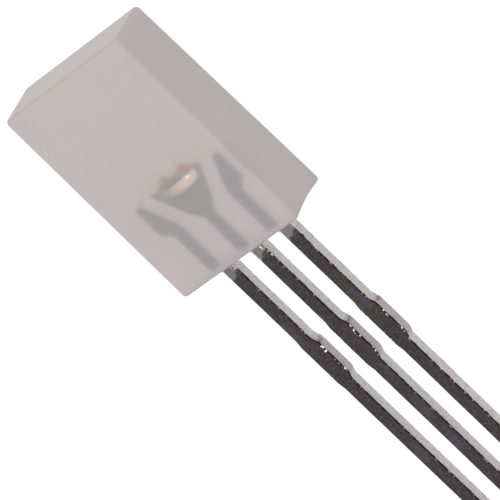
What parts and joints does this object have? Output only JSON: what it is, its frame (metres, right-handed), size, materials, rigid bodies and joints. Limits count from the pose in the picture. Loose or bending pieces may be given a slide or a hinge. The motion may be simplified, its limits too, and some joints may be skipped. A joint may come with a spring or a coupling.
{
  "type": "rectangular led",
  "caption": "Rectangular through-hole LED with a milky diffused epoxy body on straight flat-sided leads; light shines from the narrow end face.",
  "frame": {"origin": "middle of the lead row, at the level of the epoxy block's base rim", "axes": "+Z out of the light end, with the leads pointing down -Z; +X along the row of leads and the block's width; -Y out of the broad front face"},
  "size_m": [0.005, 0.002, 0.0358],
  "materials": {
    "milky_epoxy": "white diffused epoxy, satin, lets light through",
    "tinned_steel": "dull tin plating with fine grain",
    "silver_glue": "cured silver-filled glue",
    "red_chip": "sawn semiconductor crystal",
    "green_chip": "sawn semiconductor crystal",
    "gold": "drawn gold wire"
  },
  "bodies": {
    "root": {"epoxy_body": "milky_epoxy", "common_lead": "tinned_steel", "left_lead": "tinned_steel", "right_lead": "tinned_steel", "left_die_glue": "silver_glue", "right_die_glue": "silver_glue", "red_die": "red_chip", "green_die": "green_chip", "red_bond_wire": "gold", "green_bond_wire": "gold"}
  },
  "joints": []
}
